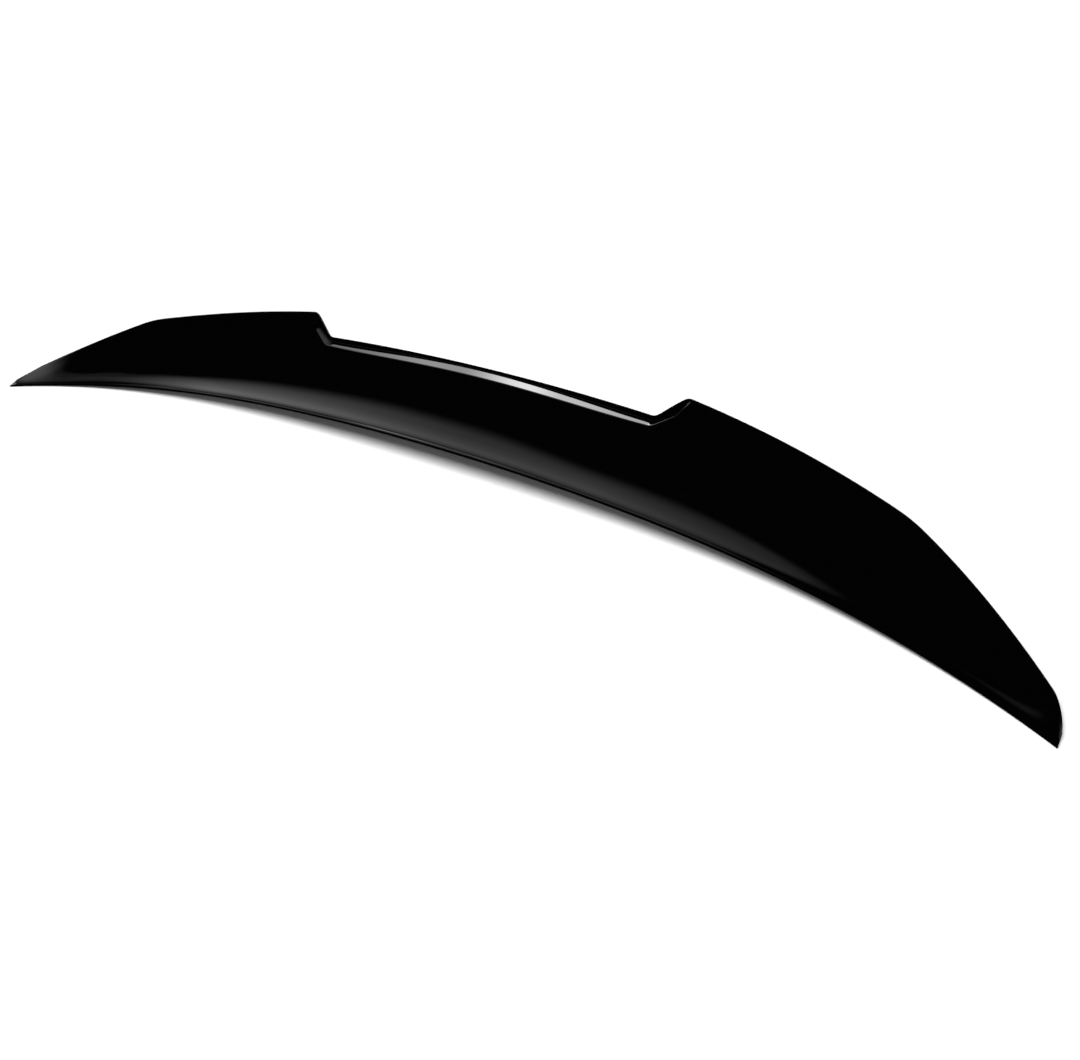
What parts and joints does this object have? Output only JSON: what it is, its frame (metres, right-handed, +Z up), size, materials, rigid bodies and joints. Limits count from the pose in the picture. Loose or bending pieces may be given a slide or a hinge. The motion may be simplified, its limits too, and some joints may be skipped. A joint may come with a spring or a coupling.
{
  "type": "car rear spoiler",
  "caption": "Low boot lid spoiler: a thin moulded shell with swept tips, a raised rear edge and a wide shelved notch in the middle.",
  "frame": {"origin": "middle of the width and of the depth, on the plane that the tips and the rear foot stand on", "axes": "+X across the car along the spoiler's length, +Y from the leading edge towards the rear, +Z up. The part stands on a flat surface on both tips and the whole length of its rear foot."},
  "size_m": [1.24, 0.1974, 0.0836],
  "materials": {
    "gloss_black": "gloss"
  },
  "bodies": {
    "root": {"spoiler_shell": "gloss_black"}
  },
  "joints": []
}
